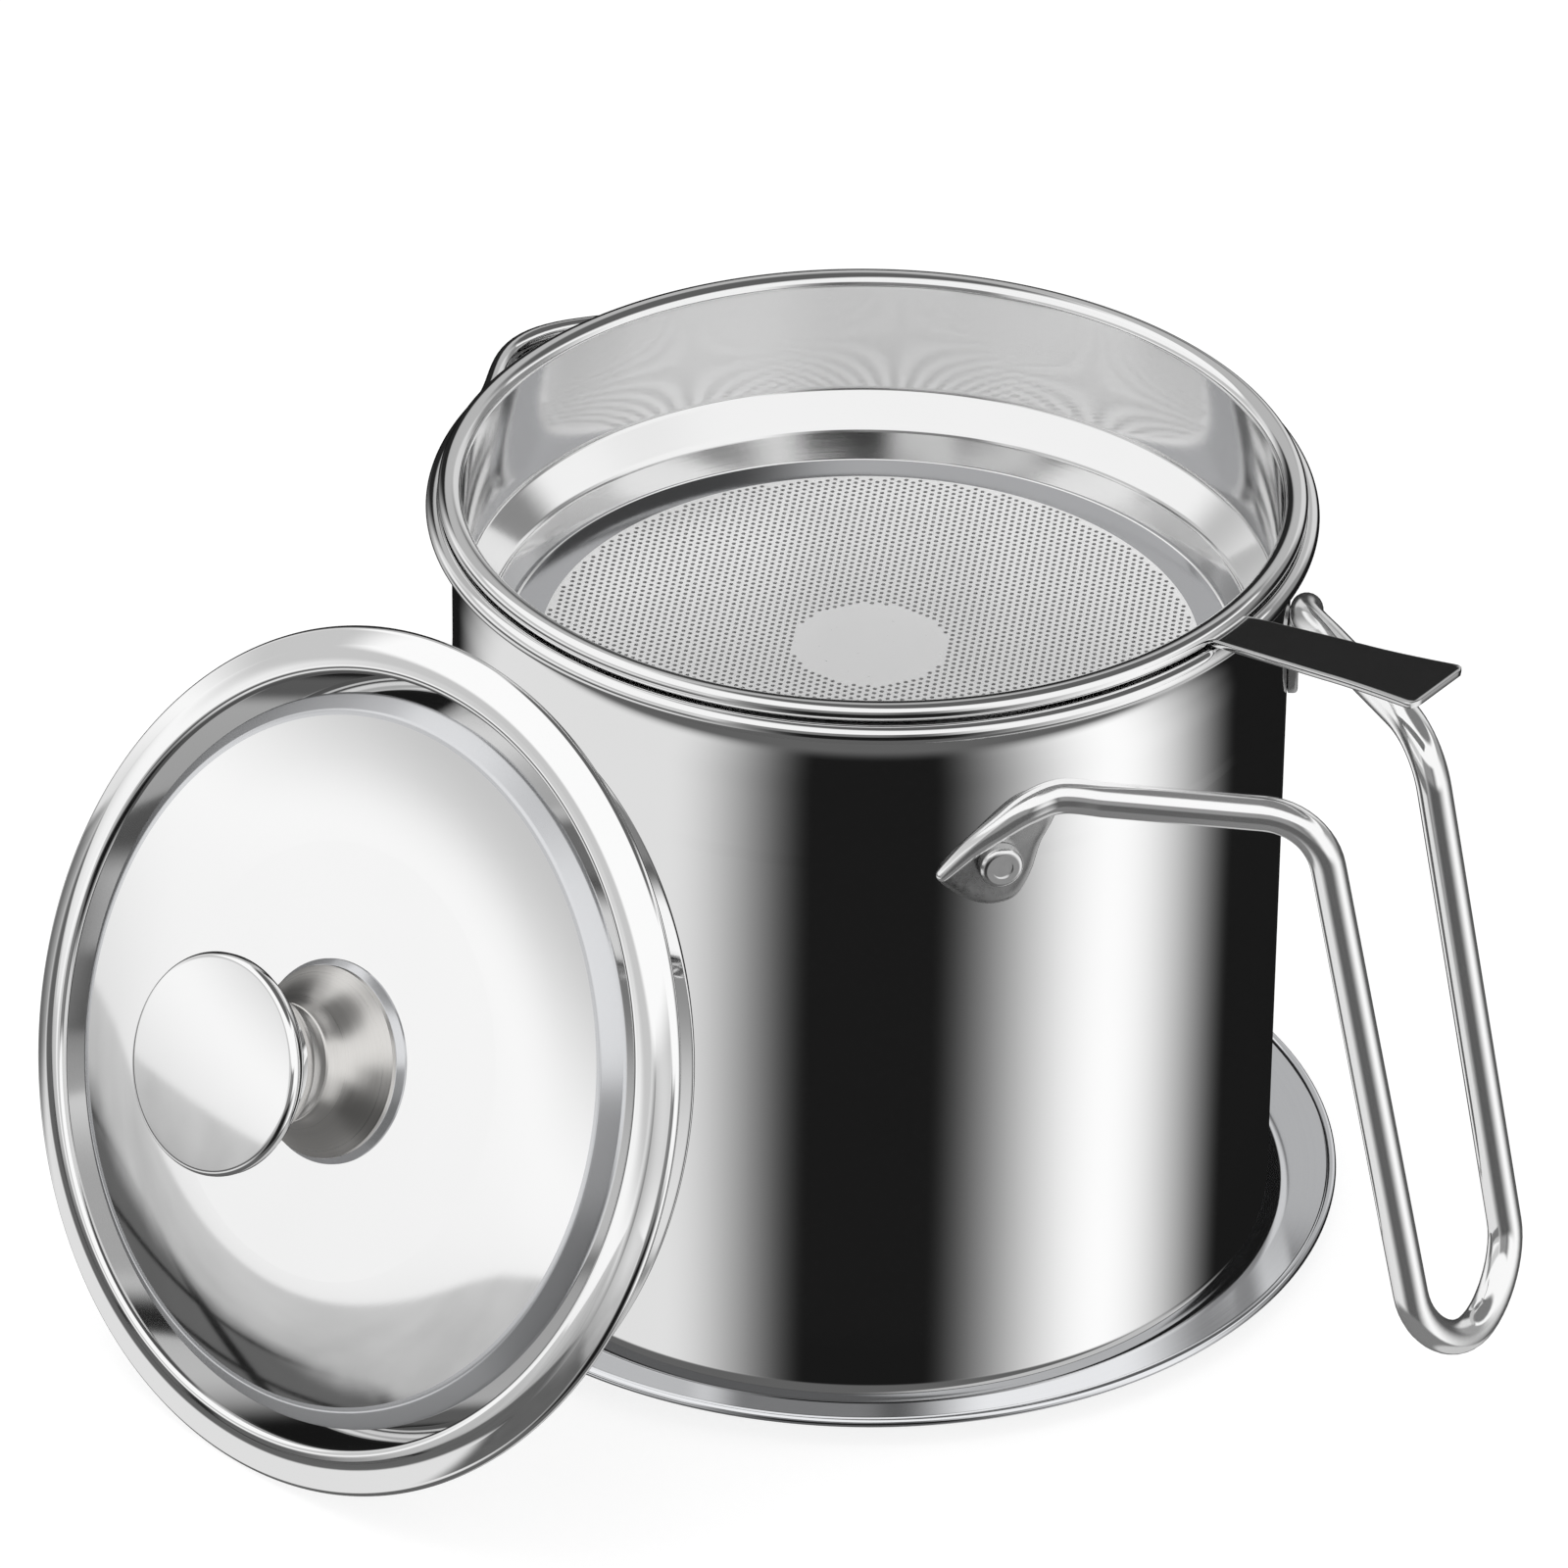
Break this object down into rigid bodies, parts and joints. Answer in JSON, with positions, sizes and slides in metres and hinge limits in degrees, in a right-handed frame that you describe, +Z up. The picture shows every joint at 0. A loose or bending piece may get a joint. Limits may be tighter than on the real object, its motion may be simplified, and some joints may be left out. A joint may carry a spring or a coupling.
{
  "type": "grease keeper pot",
  "caption": "Round steel keeper for cooking fat: a spouted pot with a bent rod handle on a saucer tray, a lift-out perforated strainer and a knobbed lid leaning beside it.",
  "frame": {"origin": "middle of the tray's underside, on the surface the object stands on", "axes": "+Z up along the pot's axis, +X towards the handle's grip, +Y so that the lid leans on the -Y side"},
  "size_m": [0.1952, 0.1918, 0.1213],
  "materials": {
    "polished_steel": "mirror-polished stainless steel",
    "satin_steel": "satin stainless steel, turned round its axis",
    "sieve_steel": "bright perforated stainless steel sheet"
  },
  "bodies": {
    "tray": {"tray": "polished_steel"},
    "pot": {"pot_shell": "polished_steel", "handle_rod": "polished_steel", "rivet_front": "polished_steel", "rivet_rear": "polished_steel"},
    "strainer": {"strainer_basket": "polished_steel", "sieve_disc": "sieve_steel", "strainer_tab": "polished_steel"},
    "lid": {"lid_shell": "polished_steel", "knob_foot": "polished_steel", "knob_stem": "satin_steel", "knob_head": "polished_steel", "knob_washer": "satin_steel", "knob_screw": "satin_steel"}
  },
  "joints": [
    {"name": "pot_lift", "type": "slide", "parent": "tray", "child": "pot", "axis": [0, 0, 1], "range_m": [0, 0.13]},
    {"name": "strainer_lift", "type": "slide", "parent": "pot", "child": "strainer", "axis": [0, 0, 1], "range_m": [0, 0.06]},
    {"name": "lid_lift", "type": "slide", "parent": "tray", "child": "lid", "axis": [-0.1405, -0.9076, 0.3955], "range_m": [0, 0.15]}
  ]
}
